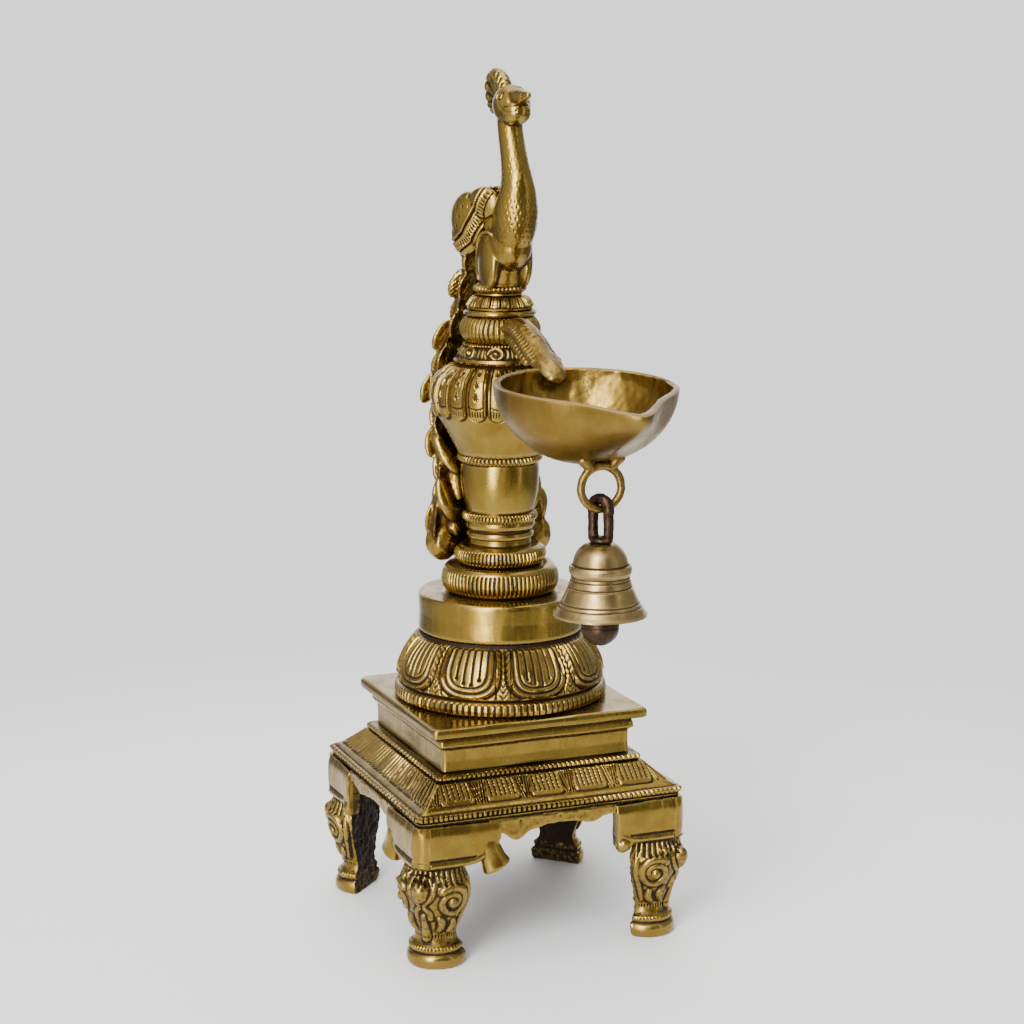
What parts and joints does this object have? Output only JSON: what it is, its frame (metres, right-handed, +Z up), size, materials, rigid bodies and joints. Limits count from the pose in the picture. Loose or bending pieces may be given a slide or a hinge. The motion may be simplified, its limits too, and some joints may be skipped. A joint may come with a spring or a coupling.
{
  "type": "standing oil lamp",
  "caption": "Cast brass standing oil lamp: legged square stool base, turned column, peacock finial with a long train, and a spouted bowl held in front with a hanging bell.",
  "frame": {"origin": "on the floor under the centre of the stool base, where the column's axis meets the floor", "axes": "+Z up along the column, -Y towards the bowl and its spout, -X the lamp's right-hand side as it faces out"},
  "size_m": [0.1026, 0.1718, 0.3049],
  "materials": {
    "polished_brass": "polished cast brass with dark residue in its corners",
    "antique_brass": "cast relief brass, dark brown patina in the recesses and buffed high points",
    "bell_bronze": "satin lathe-turned bronze",
    "dark_metal": "dark brown unpolished metal",
    "steel": "plain threaded steel"
  },
  "bodies": {
    "root": {"plinth_base": "antique_brass", "plinth_top": "polished_brass", "apron_strips": "antique_brass", "leg_front_left": "antique_brass", "leg_front_right": "antique_brass", "leg_rear_left": "antique_brass", "leg_rear_right": "antique_brass", "lotus_seat": "antique_brass", "drum": "polished_brass", "stem_foot_ring": "antique_brass", "stem_second_ring": "antique_brass", "waist_collar": "polished_brass", "lower_milled_ring": "antique_brass", "cup_body": "polished_brass", "upper_milled_ring": "antique_brass", "pot": "polished_brass", "scroll_collar": "antique_brass", "ribbed_ring": "antique_brass", "disc_collar": "polished_brass", "petal_capital": "antique_brass", "perch_collar": "antique_brass", "peacock_body": "polished_brass", "peacock_crest": "antique_brass", "left_wing": "antique_brass", "right_wing": "antique_brass", "tail_train": "antique_brass", "bowl_arm": "polished_brass", "oil_bowl": "polished_brass", "bell_hanger": "polished_brass", "tie_rod": "steel", "tie_nut": "steel", "clamp_washer": "steel"},
    "bell": {"bell_loop": "dark_metal", "bell": "bell_bronze", "clapper_staple": "dark_metal"},
    "link": {"clapper_link": "dark_metal"},
    "clapper": {"clapper": "dark_metal"}
  },
  "joints": [
    {"name": "bell_swing", "type": "hinge", "parent": "root", "child": "bell", "pos_m": [0, -0.0877, 0.16495], "axis": [1, 0, 0], "range_deg": [-45, 45]},
    {"name": "link_rock", "type": "hinge", "parent": "bell", "child": "link", "pos_m": [0, -0.0877, 0.14595], "axis": [0, 1, 0], "range_deg": [-14, 14]},
    {"name": "clapper_swing", "type": "hinge", "parent": "link", "child": "clapper", "pos_m": [0, -0.0877, 0.13945], "axis": [1, 0, 0], "range_deg": [-18, 18]}
  ]
}
